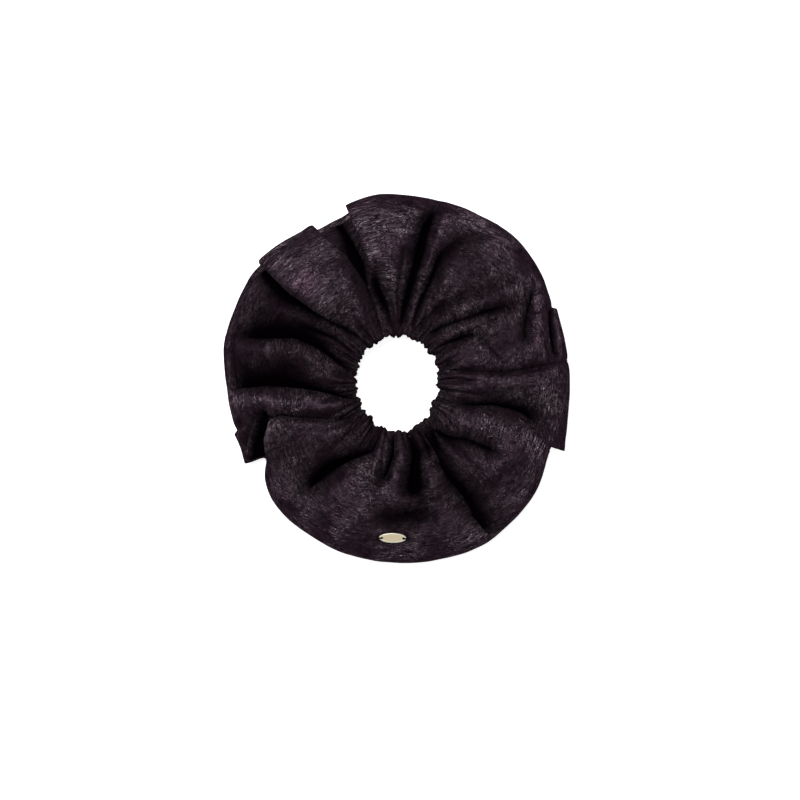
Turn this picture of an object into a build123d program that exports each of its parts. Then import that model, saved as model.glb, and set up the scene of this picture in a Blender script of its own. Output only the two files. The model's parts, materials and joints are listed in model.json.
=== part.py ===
"""Oversize gathered scrunchie: a hollow fabric ring on a flat elastic, with a small metal tag.

Frame: +Z up out of the ring, +Y towards the side away from the tag, and the origin on the axis of
the hole, at the level that the scrunchie rests on. Millimetres.

The real ring stretches as one piece. Here it is cut across the hole, at y = 0, into the half that
carries the tag and the half that is pulled away from it, with a narrow gap between them.
"""
from build123d import *
import math
import os

# ---------------------------------------------------------------- driving dimensions
hole_radius = 19.0  # the relaxed hole, to the cover's gathered inner face
outer_radius = 77.8  # the mean of the ring's half width and half height
thickness = 25.0  # how high the gathered tube stands when it lies flat
cover_wall = 1.2  # satin and its small gathers, as one wall
crest_radius = 45.0  # where the tube is thickest
foot_inner_radius = 36.0  # the flat of the underside begins
foot_outer_radius = 58.0  # and ends

elastic_width = 6.0
elastic_thickness = 1.0
elastic_clearance = 0.3  # elastic to the inside of the cover
elastic_lap_length = 12.0  # the band's own end, lapped over its start

seam_radius = 44.0  # the long seam runs round inside the underside
seam_allowance_width = 8.0  # how far the two raw edges stand up
seam_allowance_thickness = 1.2  # two layers of the cover
closing_seam_angle = 5.6  # degrees from +X, where the strip's two ends meet
lap_start_angle = 9.0  # degrees from +X

thread_thickness = 0.4
thread_width = 0.6
thread_clearance = 0.05
lap_bar_width = 0.5
lap_bar_count = 4

tag_length = 11.7
tag_width = 4.3
tag_thickness = 0.8
tag_edge_fillet = 0.2
tag_inset = 11.6  # from the ring's outer edge to the middle of the tag
tag_angle = -91.5  # degrees from +X
tag_lift = 0.1  # tag to the cover under it
tag_eye_inset = 1.3  # tip of the tag to the middle of its eye
loop_thread = 0.5  # the square thread that ties the tag on
loop_clearance = 0.15  # thread to the tag's tip
eye_clearance = 0.15  # thread to the tag's eye
needle_clearance = 0.1  # thread to its hole in the cover
knot_depth = 0.3  # inside of the cover to the thread under it

half_gap = 0.15  # each half of the ring stops this short of y = 0

# ---------------------------------------------------------------- values that follow
mid_height = thickness / 2
casing_height = elastic_width + 2 * (elastic_clearance + cover_wall)
tag_radius = outer_radius - tag_inset
tag_eye_offset = tag_length / 2 - tag_eye_inset
tag_eye_radius = loop_thread / math.sqrt(2) + eye_clearance
needle_hole_radius = loop_thread / math.sqrt(2) + needle_clearance
elastic_radius = hole_radius + cover_wall + elastic_clearance
lap_radius = elastic_radius + elastic_thickness
lap_angle = math.degrees(elastic_lap_length / lap_radius)


def section(inset):
    """Section of the gathered tube on the +X side, this far inside its outer surface."""
    top_run = crest_radius - hole_radius - inset
    casing_half = casing_height / 2 - inset
    rise = mid_height - casing_height / 2
    foot_run = foot_inner_radius - hole_radius - inset
    half_height = mid_height - inset
    casing_top = mid_height + casing_half
    casing_foot = mid_height - casing_half
    outer_run = outer_radius - inset - crest_radius
    foot_outer_run = outer_radius - inset - foot_outer_radius
    with BuildSketch(Plane.XZ) as outline:
        with BuildLine():
            EllipticalCenterArc((crest_radius, casing_top), top_run, rise, start_angle=90, arc_size=90)
            EllipticalCenterArc((crest_radius, mid_height), outer_run, half_height, arc_size=90)
            EllipticalCenterArc(
                (foot_outer_radius, mid_height), foot_outer_run, half_height, start_angle=270, arc_size=90
            )
            EllipticalCenterArc((foot_inner_radius, casing_foot), foot_run, rise, start_angle=180, arc_size=90)
            Line((hole_radius + inset, casing_foot), (hole_radius + inset, casing_top))
            Line((foot_inner_radius, inset), (foot_outer_radius, inset))
        make_face()
    return outline.sketch


def ring_plane(angle):
    """Upright plane through the hole's axis, turned this many degrees from +X."""
    return Plane.XZ.rotated((0, 0, angle))


def keep_half(side):
    """Cut the part being built at y = 0 and keep its "tag" or its "pull" side."""
    if side == "tag":
        split(bisect_by=Plane.XZ.offset(half_gap), keep=Keep.TOP)
    else:
        split(bisect_by=Plane.XZ.offset(-half_gap), keep=Keep.BOTTOM)


def tag_seat():
    """Plane that touches the cover under the tag: x along the tag, z out of the cover."""
    run = outer_radius - crest_radius
    across = (tag_radius - crest_radius) / run
    height = mid_height * math.sqrt(1 - across**2)
    slope = math.atan(mid_height / run * across / math.sqrt(1 - across**2))
    angle = math.radians(tag_angle)
    outward = (math.cos(angle), math.sin(angle))
    return Plane(
        origin=(tag_radius * outward[0], tag_radius * outward[1], mid_height + height),
        x_dir=(-outward[1], outward[0], 0),
        z_dir=(math.sin(slope) * outward[0], math.sin(slope) * outward[1], math.cos(slope)),
    )


seat = tag_seat()
loop_outer_offset = tag_length / 2 + loop_clearance + loop_thread / 2
finished = []


# ---------------------------------------------------------------- cover, long seam and elastic
def cover_half(side):
    """Half of the gathered tube, hollow, with the long seam's raw edges standing up inside."""
    with BuildPart() as cover:
        revolve(section(0), axis=Axis.Z)
        revolve(section(cover_wall), axis=Axis.Z, mode=Mode.SUBTRACT)
        with BuildSketch(Plane.XZ):
            with Locations((seam_radius, cover_wall / 2)):
                Rectangle(
                    seam_allowance_thickness,
                    seam_allowance_width + cover_wall / 2,
                    align=(Align.MIN, Align.MIN),
                )
        revolve(axis=Axis.Z)
        if side == "tag":
            with BuildSketch(seat):
                with Locations(
                    (-loop_outer_offset, 0), (-tag_eye_offset, 0), (tag_eye_offset, 0), (loop_outer_offset, 0)
                ):
                    Circle(needle_hole_radius)
            extrude(amount=2 * cover_wall, both=True, mode=Mode.SUBTRACT)
        keep_half(side)
    return cover


def long_seam_thread_half(side):
    """Needle thread and bobbin thread, one on each face of the seam's raw edges."""
    with BuildPart() as seam:
        with BuildSketch(Plane.XZ):
            with Locations((seam_radius - thread_clearance, cover_wall + thread_width)):
                Rectangle(thread_thickness, thread_width, align=(Align.MAX, Align.MIN))
            with Locations(
                (seam_radius + seam_allowance_thickness + thread_clearance, cover_wall + thread_width)
            ):
                Rectangle(thread_thickness, thread_width, align=(Align.MIN, Align.MIN))
        revolve(axis=Axis.Z)
        keep_half(side)
    return seam


def elastic_half(side):
    """Flat elastic standing on edge inside the hole's casing; its lapped end is on the pull side."""
    with BuildPart() as elastic:
        with BuildSketch(Plane.XZ):
            with Locations((elastic_radius, mid_height)):
                Rectangle(elastic_thickness, elastic_width, align=(Align.MIN, Align.CENTER))
        revolve(axis=Axis.Z)
        if side == "pull":
            with BuildSketch(ring_plane(lap_start_angle)):
                with Locations((lap_radius, mid_height)):
                    Rectangle(elastic_thickness, elastic_width, align=(Align.MIN, Align.CENTER))
            revolve(axis=Axis.Z, revolution_arc=lap_angle)
        keep_half(side)
    return elastic


for half in ("tag", "pull"):
    cover = cover_half(half)
    cover.part.label = f"cover_{half}_half"
    long_seam = long_seam_thread_half(half)
    long_seam.part.label = f"long_seam_thread_{half}_half"
    elastic = elastic_half(half)
    elastic.part.label = f"elastic_{half}_half"
    finished += [cover, long_seam, elastic]

# ---------------------------------------------------------------- thread across the tube
# The strip's two ends are joined inside out, so this thread lies inside the cover. It stops at the
# elastic's casing and at the raw edges of the long seam.
with BuildPart() as closing_seam_thread:
    thread_inset = cover_wall + thread_clearance
    revolve(section(thread_inset), axis=Axis.Z)
    revolve(section(thread_inset + thread_thickness), axis=Axis.Z, mode=Mode.SUBTRACT)
    with BuildSketch(ring_plane(closing_seam_angle)) as thread_window:
        with Locations((lap_radius + 2 * elastic_thickness, mid_height)):
            Rectangle(outer_radius, mid_height, align=(Align.MIN, Align.MIN))
        with Locations((seam_radius + 2 * seam_allowance_thickness, 0)):
            Rectangle(outer_radius, thickness, align=(Align.MIN, Align.MIN))
    extrude(amount=thread_width / 2, both=True, mode=Mode.INTERSECT)
closing_seam_thread.part.label = "closing_seam_thread"
finished.append(closing_seam_thread)

# ---------------------------------------------------------------- stitches of the elastic's lap
with BuildPart() as elastic_lap_thread:
    bar_radius = lap_radius + elastic_thickness + thread_clearance + thread_thickness / 2
    bar_step = lap_angle / (lap_bar_count + 1)
    first_bar = lap_start_angle + bar_step
    bar_span = bar_step * lap_bar_count
    with PolarLocations(bar_radius, lap_bar_count, start_angle=first_bar, angular_range=bar_span):
        with Locations((0, 0, mid_height)):
            Box(thread_thickness, lap_bar_width, elastic_width - 2 * thread_width)
elastic_lap_thread.part.label = "elastic_lap_thread"
finished.append(elastic_lap_thread)

# ---------------------------------------------------------------- tag and its two ties
with BuildPart() as metal_tag:
    with BuildSketch(seat.offset(tag_lift)):
        Ellipse(tag_length / 2, tag_width / 2)
    extrude(amount=tag_thickness)
    fillet(metal_tag.edges(), tag_edge_fillet)
    with BuildSketch(seat.offset(tag_lift)):
        with Locations((-tag_eye_offset, 0), (tag_eye_offset, 0)):
            Circle(tag_eye_radius)
    extrude(amount=tag_thickness, mode=Mode.SUBTRACT)
metal_tag.part.label = "metal_tag"
finished.append(metal_tag)

loop_middle = (tag_eye_offset + loop_outer_offset) / 2
loop_length = loop_outer_offset - tag_eye_offset + loop_thread
loop_top = tag_lift + tag_thickness + thread_clearance + loop_thread
loop_bottom = -(cover_wall + knot_depth + loop_thread)
loop_height = loop_top - loop_bottom
loop_centre = (loop_top + loop_bottom) / 2

for name, sign in (("left", -1), ("right", 1)):
    loop_plane = Plane(origin=seat.origin, x_dir=seat.x_dir, z_dir=-seat.y_dir)
    with BuildPart() as tag_thread:
        with BuildSketch(loop_plane):
            with Locations((sign * loop_middle, loop_centre)):
                Rectangle(loop_length, loop_height)
                Rectangle(loop_length - 2 * loop_thread, loop_height - 2 * loop_thread, mode=Mode.SUBTRACT)
        extrude(amount=loop_thread / 2, both=True)
    tag_thread.part.label = f"tag_thread_{name}"
    finished.append(tag_thread)

os.makedirs("parts", exist_ok=True)
for piece in finished:
    export_step(piece.part, f"parts/{piece.part.label}.step")
    print(piece.part.label, "solids", len(piece.part.solids()), "volume", round(piece.part.volume, 1))
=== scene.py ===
# %% [markdown]
# # A gathered scrunchie
# An oversize scrunchie is one strip of satin, sewn into a tube and drawn up on a flat elastic. Its
# looks come from three things: how the cloth folds, how the satin shines on those folds, and one
# small polished tag. This lesson builds each in turn, around a frame that already holds the sizes,
# the bodies that move and the joint that lets the ring stretch. The frame is loaded first, and the
# ring, the hole, the elastic and the tag take their sizes and places from it.

# %% Load the frame
import json
import math

import bpy
import numpy as np
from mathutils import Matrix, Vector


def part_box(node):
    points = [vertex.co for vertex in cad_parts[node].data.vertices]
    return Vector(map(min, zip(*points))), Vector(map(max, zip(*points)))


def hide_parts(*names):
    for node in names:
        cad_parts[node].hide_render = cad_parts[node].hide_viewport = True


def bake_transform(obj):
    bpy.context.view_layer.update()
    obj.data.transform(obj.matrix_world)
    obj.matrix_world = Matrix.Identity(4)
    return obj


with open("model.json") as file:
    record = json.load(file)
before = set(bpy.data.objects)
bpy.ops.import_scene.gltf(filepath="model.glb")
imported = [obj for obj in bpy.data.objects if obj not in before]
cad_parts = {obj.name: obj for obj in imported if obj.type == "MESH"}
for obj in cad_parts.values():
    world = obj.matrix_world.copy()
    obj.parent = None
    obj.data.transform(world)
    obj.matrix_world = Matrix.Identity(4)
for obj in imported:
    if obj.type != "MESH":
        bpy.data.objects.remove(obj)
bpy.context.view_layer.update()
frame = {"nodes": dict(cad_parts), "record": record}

MM = 0.001
RECORD = frame["record"]

# %% [markdown]
# ## Sizes
# The frame's boxes give the ring: how far it reaches, how thick it lies, how wide the hole is and
# how wide the elastic is. What the frame doesn't hold are the sizes of the cloth and its folds, and
# each of those is named once, where it is first needed. Everything is in millimetres until a mesh
# is made.

# %% Sizes of the ring and of the cloth
def mm_box(node):
    """A frame node's lowest and highest corners, in millimetres."""
    low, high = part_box(node)
    return np.array(low) / MM, np.array(high) / MM


ring_high = mm_box("cover_tag_half")[1]
elastic_low, elastic_high = mm_box("elastic_tag_half")
hole_mount = next(mount for mount in RECORD["mounts"] if mount["name"] == "hair_loop")

OUTER = ring_high[0]
THICK = ring_high[2]
MIDDLE = THICK / 2
HOLE = hole_mount["dims"]["r_mm"]
CASING = hole_mount["dims"]["length_mm"]
CREST = 45.0  # where the tube stands highest
FOOT = (36.0, 58.0)  # the ring that lies flat on the table
SEAM = 44.6  # where the long seam runs, underneath
tag_low, tag_high = mm_box("metal_tag")
TAG_SPOT, TAG_HALF = (tag_low + tag_high) / 2, (tag_high - tag_low) / 2
print(f"ring {OUTER:.1f} mm out, {THICK:.1f} mm thick, hole {HOLE:.1f} mm, casing {CASING:.1f} mm")

# %% [markdown]
# ## Shader maths
# Satin, thread, elastic and metal each need a material whose colour and gloss follow a formula. Its
# nodes could be placed by hand in the shader editor, but a formula is easier to read than a web of
# links. So one small class stands for the output of a node, and adding or multiplying two of them
# adds the Math node that does it. A second class holds the material and makes every other node.

# %% A class for shader maths
class Wire:
    """One output socket of a shader tree. Sums and products of wires add Math nodes."""

    def __init__(self, finish, socket):
        self.finish, self.socket = finish, socket

    def math(self, operation, *others):
        return self.finish.node("ShaderNodeMath", {"operation": operation}, *[self, *others])

    def __add__(self, other):
        return self.math("ADD", other)

    def __sub__(self, other):
        return self.math("SUBTRACT", other)

    def __mul__(self, other):
        return self.math("MULTIPLY", other)

    def __rsub__(self, other):
        return self.finish.node("ShaderNodeMath", {"operation": "SUBTRACT"}, other, self)

    def held(self):
        """The value kept between 0 and 1."""
        return self.math("MAXIMUM", 0).math("MINIMUM", 1)

    __radd__, __rmul__ = __add__, __mul__


signs = {"+": "__add__", "-": "__sub__", "*": "__mul__"}
print("a wire works with", [sign for sign, name in signs.items() if hasattr(Wire, name)])

# %% A class for materials
class Finish:
    """A material whose nodes all come from one method, node()."""

    def __init__(self, name):
        self.material = bpy.data.materials.new(name)
        self.material.use_nodes = True
        self.tree = self.material.node_tree
        self.shader = self.tree.nodes["Principled BSDF"]

    def node(self, kind, settings=None, *values, out=0, **named):
        """Adds a node: its settings first, then its inputs by place or by name."""
        made = self.tree.nodes.new(kind)
        for setting, value in (settings or {}).items():
            setattr(made, setting, value)
        for key, value in [*enumerate(values), *named.items()]:
            self.plug(made.inputs[key], value)
        return Wire(self, made.outputs[out])

    def plug(self, socket, value):
        if isinstance(value, Wire):
            self.tree.links.new(value.socket, socket)
        elif hasattr(value, "__len__") and len(value) == 3 and socket.type == "RGBA":
            socket.default_value = (*value, 1)
        else:
            socket.default_value = value

    def blend(self, share, first, second):
        """Mixes two colours, each a wire or three numbers."""
        made = self.tree.nodes.new("ShaderNodeMix")
        made.data_type = "RGBA"
        for place, value in ((0, share), (6, first), (7, second)):
            self.plug(made.inputs[place], value)
        return Wire(self, made.outputs[2])

    def set(self, **inputs):
        """Sets the shader's own sockets; underscores stand for spaces."""
        for name, value in inputs.items():
            self.plug(self.shader.inputs[name.replace("_", " ")], value)
        return self


trial = Finish("trial")
before = len(trial.tree.nodes)
halved = 1 - trial.node("ShaderNodeTexNoise") * 0.5
made = len(trial.tree.nodes) - before
print("1 - noise * 0.5 takes", made, "nodes, the last one", halved.socket.node.operation)
bpy.data.materials.remove(trial.material)

# %% [markdown]
# ## The view, the floor and the light
# The scrunchie is looked at from straight above, as it lies on a white table. One wide, soft light
# overhead and a weaker one from the far side keep the folds readable: satin this dark shows its
# shape only by its sheen. The floor is bright enough to read as plain white.

# %% Camera
VIEW_WIDTH = 346.0 * MM
VIEW_MIDDLE = (1.4 * MM, -7.4 * MM)  # what the camera looks straight down on
LENS, SENSOR = 90.0, 36.0
view = bpy.data.cameras.new("view")
view.lens, view.sensor_width = LENS, SENSOR
view.clip_end = 10
camera = bpy.data.objects.new("view", view)
distance = VIEW_WIDTH * LENS / SENSOR
camera.location = (*VIEW_MIDDLE, MIDDLE * MM + distance)
bpy.context.scene.collection.objects.link(camera)
bpy.context.scene.camera = camera
bpy.context.scene.view_settings.view_transform = "Standard"
print(f"camera {distance:.3f} m above the ring")

# %% Floor
FLOOR_HALF = 3.0
floor_mesh = bpy.data.meshes.new("floor")
corners = [(x * FLOOR_HALF, y * FLOOR_HALF, 0) for x, y in ((-1, -1), (1, -1), (1, 1), (-1, 1))]
floor_mesh.from_pydata(corners, [], [(0, 1, 2, 3)])
floor = bpy.data.objects.new("floor", floor_mesh)
bpy.context.scene.collection.objects.link(floor)
white_floor = Finish("white_floor").set(Base_Color=(0.8, 0.8, 0.8), Roughness=0.9)
white_floor.set(Emission_Color=(1.0, 1.0, 1.0), Emission_Strength=0.9, Specular_IOR_Level=0.0)
floor_mesh.materials.append(white_floor.material)
print(f"floor {2 * FLOOR_HALF:.0f} m wide")

# %% Lights
ROOM_LIGHT = 0.05


def soft_light(name, place, size, power):
    """A square light that faces the ring."""
    lamp = bpy.data.lights.new(name, "AREA")
    lamp.size, lamp.energy = size, power
    lit = bpy.data.objects.new(name, lamp)
    lit.location = place
    aim = -np.array(place)
    lit.rotation_euler = (math.acos(-aim[2] / np.linalg.norm(aim)), 0, math.atan2(aim[0], -aim[1]))
    bpy.context.scene.collection.objects.link(lit)
    print(name, "at", place)


soft_light("overhead", (-0.22, 0.30, 1.25), size=0.5, power=18)
soft_light("far_side", (0.6, -0.35, 0.9), size=0.5, power=2.5)
world = bpy.data.worlds.new("room")
world.use_nodes = True
room = world.node_tree.nodes["Background"]
room.inputs["Color"].default_value = (1, 1, 1, 1)
room.inputs["Strength"].default_value = ROOM_LIGHT
bpy.context.scene.world = world

# %% [markdown]
# ## The cover
# The cover is a strip of cloth, so it is built as one: a grid whose columns run across the strip
# and whose rows run along it. Rolled up, each column is one section of the tube. It starts at a raw
# edge that stands up inside, goes out along the table, round the outer edge, in over the top, down
# the casing at the hole, and back to the other raw edge beside the first. A torus would have been
# quicker, but it has no raw edges, and its columns couldn't lap over each other in pleats.

# %% Pieces of the section
def quarter(centre, reach, start, steps):
    """A quarter of an ellipse, anticlockwise, and its outward normals."""
    angle = np.radians(start + 90 * np.arange(steps) / steps)
    points = np.stack([centre[0] + reach[0] * np.cos(angle), centre[1] + reach[1] * np.sin(angle)], 1)
    normals = np.stack([np.cos(angle) / reach[0], np.sin(angle) / reach[1]], 1)
    return points, normals / np.linalg.norm(normals, axis=1, keepdims=True)


def straight(start, end, steps, normal):
    """Points of a straight run, without its end."""
    share = np.arange(steps)[:, None] / steps
    return np.array(start) + share * (np.array(end) - np.array(start)), np.tile(normal, (steps, 1))


trial_points, trial_normals = quarter((0, 0), (2, 1), 90, 3)
print("a quarter starts at", trial_points[0].round(2), "and faces", trial_normals[0].round(2))

# %% Section of the tube, from raw edge to raw edge
COLUMNS = 780
ALLOWANCE = 8.0
EDGE_STEPS = 4  # rows in each raw edge, which stands up inside
FOLD_IN = 0.25  # from the seam to an allowance
casing_top, casing_foot = MIDDLE + CASING / 2, MIDDLE - CASING / 2
runs = [
    straight((SEAM + FOLD_IN, ALLOWANCE + 1), (SEAM + FOLD_IN, 0.8), EDGE_STEPS, (-1.0, 0.0)),
    straight((SEAM + 0.6, 0.1), (FOOT[1], 0.0), 8, (0.0, -1.0)),
    quarter((FOOT[1], MIDDLE), (OUTER - FOOT[1], MIDDLE), 270, 20),
    quarter((CREST, MIDDLE), (OUTER - CREST, MIDDLE), 0, 34),
    quarter((CREST, casing_top), (CREST - HOLE, THICK - casing_top), 90, 28),
    straight((HOLE, casing_top), (HOLE, casing_foot), 8, (-1.0, 0.0)),
    quarter((FOOT[0], casing_foot), (FOOT[0] - HOLE, casing_foot), 180, 14),
    straight((FOOT[0], 0.0), (SEAM - 0.6, 0.1), 5, (0.0, -1.0)),
    straight((SEAM - FOLD_IN, 0.8), (SEAM - FOLD_IN, ALLOWANCE + 1), EDGE_STEPS, (1.0, 0.0)),
]
section = np.concatenate([run[0] for run in runs])
section_normal = np.concatenate([run[1] for run in runs])
allowance_row = np.zeros(len(section))
allowance_row[:EDGE_STEPS] = allowance_row[-EDGE_STEPS:] = 1
across_strip = np.concatenate([[0], np.cumsum(np.linalg.norm(np.diff(section, axis=0), axis=1))])

# %% [markdown]
# ### Outline
# Neither edge is a circle. The relaxed elastic lies as a soft oval, and the outer edge runs out at
# the full panels and in where the cloth is pleated. Both are drawn as angle and radius,
# anticlockwise from the right, and smoothed.

# %% Outline of the ring and of the hole
OUTLINE = [
    (0, 75.2), (14, 75.4), (27, 75.8), (40, 79.3), (50, 80.9), (60, 81.0), (80, 81.3), (95, 82.0),
    (102, 80.2), (107, 76.8), (117, 75.4), (124, 77.6), (134, 78.8), (142, 79.0), (150, 78.1),
    (168, 76.6), (182, 73.8), (190, 73.0), (196, 73.3), (203, 72.0), (214, 71.2), (222, 73.8),
    (232, 75.7), (245, 76.3), (260, 77.8), (280, 78.4), (300, 79.8), (310, 78.5), (322, 76.6),
    (333, 73.4), (343, 75.4), (352, 75.0),
]
# angle of a pleat's corner, how far the edge stands out just clockwise of it and just anticlockwise,
# and over how many degrees that dies away
CORNERS = [
    (25.4, 1.3, -1.0, 5), (103.2, 1.2, -1.4, 4), (119.0, -0.4, 0.0, 3), (133.4, 0.9, -0.9, 4),
    (197.0, -0.8, 0.8, 3), (208.8, 3.6, -4.6, 6), (338.8, -2.4, 2.0, 6),
]
HOLE_LINE = [
    (0, 16.2), (20, 17.6), (40, 18.7), (60, 19.4), (80, 19.5), (100, 19.6), (120, 19.2), (140, 17.6),
    (160, 17.2), (180, 16.0), (200, 16.2), (220, 17.2), (240, 18.8), (260, 20.0), (280, 19.8),
    (300, 19.9), (320, 17.9), (340, 17.1),
]


def turned(angle, start):
    """Degrees from one angle to another, between -180 and 180."""
    return (angle - start + 180) % 360 - 180


def bell(distance, width):
    """A smooth hump: 1 at no distance, a third at its width, nothing far out."""
    return np.exp(-((distance / width) ** 2))


def smooth_ring(points, angle, blur=2.6):
    """A closed curve of radius against angle through hand-set points, its corners blurred."""
    known = np.array(points, float)
    fine = np.arange(720) / 2
    radius = np.interp(fine, known[:, 0], known[:, 1], period=360)
    reach = np.arange(-40, 41) / 2
    weight = bell(reach, blur)
    padded = np.concatenate([radius[-40:], radius, radius[:40]])
    return np.interp(angle % 360, fine, np.convolve(padded, weight / weight.sum(), "valid"), period=360)


def outline_at(angle):
    """The outer edge's radius at an angle, with a small step at each pleat's corner."""
    radius = smooth_ring(OUTLINE, angle)
    for corner, before, after, spread in CORNERS:
        off = turned(angle, corner)
        step = 0.5 * (1 + np.tanh(off / 0.5))
        radius = radius + (before * (1 - step) + after * step) * np.exp(-np.abs(off) / spread)
    return radius


def hole_at(angle):
    """The hole's radius at an angle."""
    return smooth_ring(HOLE_LINE, np.asarray(angle), blur=8)


print("outline", len(OUTLINE), "points, hole", len(HOLE_LINE), "points, pleat corners", len(CORNERS))

# %% [markdown]
# ### The strip, rolled up
# Every point of the grid gets an angle round the ring, a radius and a height. The section gives the
# share of the way from the hole to the outer edge, and the two outlines give the rest. A curve with
# a bevel could sweep the same tube, but its points wouldn't know which place of the strip they are.

# %% The strip, rolled into its tube
def roll_tube():
    """Angle, radius and height of every grid point before it folds."""
    angle = np.repeat(360 * np.arange(COLUMNS)[:, None] / COLUMNS, len(section), 1)
    share = (section[:, 0] - HOLE) / (OUTER - HOLE)
    inner, outer = hole_at(angle), outline_at(angle)
    radius = inner + share * (outer - inner)
    height = np.repeat(section[None, :, 1], COLUMNS, 0)
    return angle, radius, height


angle, radius, height = roll_tube()
print(f"tube reaches {radius.max():.1f} mm, hole {radius.min():.1f} mm")

# %% [markdown]
# ### Folds
# Gathered cloth folds in two sizes. Fine gathers stand all round the hole, where 54 cm of satin is
# held to 14 cm of elastic. Most of them die out within a finger's width, and the rest run on and
# merge into a few deep valleys with broad, smooth panels between them. Where there is cloth to
# spare at the outer edge it laps over itself in pleats. Noise would give folds of one kind only, so
# the deep valleys, the crests and the pleats are drawn one by one, each a line of (angle, radius,
# depth), and the fine gathers come from a rule with a fixed seed.
#
# A valley's sides are steep in its crease and level off away from it, as an exponential does, so
# the cloth between two valleys bulges like a pillow without being told to.

# %% Distance from a fold's line
def plane(angle, radius):
    """Places on the table, in millimetres, from an angle and a radius."""
    turn = np.radians(angle)
    return np.stack([radius * np.cos(turn), radius * np.sin(turn)], -1)


def beside_line(points, place):
    """For each place: its signed distance from a line of (angle, radius, value), left positive, the
    value at the nearest spot, the unit vector towards the left, and how far it lies past an end."""
    line = np.array(points, float)
    knots = plane(line[:, 0], line[:, 1])
    best = np.full(place.shape[:-1], 1e9)
    side, value, past = np.zeros_like(best), np.zeros_like(best), np.zeros_like(best)
    left = np.zeros_like(place)
    for k in range(len(knots) - 1):
        run = knots[k + 1] - knots[k]
        length = np.hypot(*run)
        ahead = run / length
        normal = np.array([-ahead[1], ahead[0]])
        offset = place - knots[k]
        along = offset @ ahead
        held = np.clip(along, 0, length)
        across = offset @ normal
        gap = np.hypot(across, along - held)
        near = gap < best
        best = np.where(near, gap, best)
        side = np.where(near, np.where(across < 0, -gap, gap), side)
        share = held / length
        value = np.where(near, line[k, 2] * (1 - share) + line[k + 1, 2] * share, value)
        past = np.where(near, np.abs(along - held), past)
        left = np.where(near[..., None], normal, left)
    return side, value, left, past


print("3 mm left of a line:", beside_line([(0, 20, 1), (0, 40, 1)], np.array([30.0, 3.0]))[0])

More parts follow.
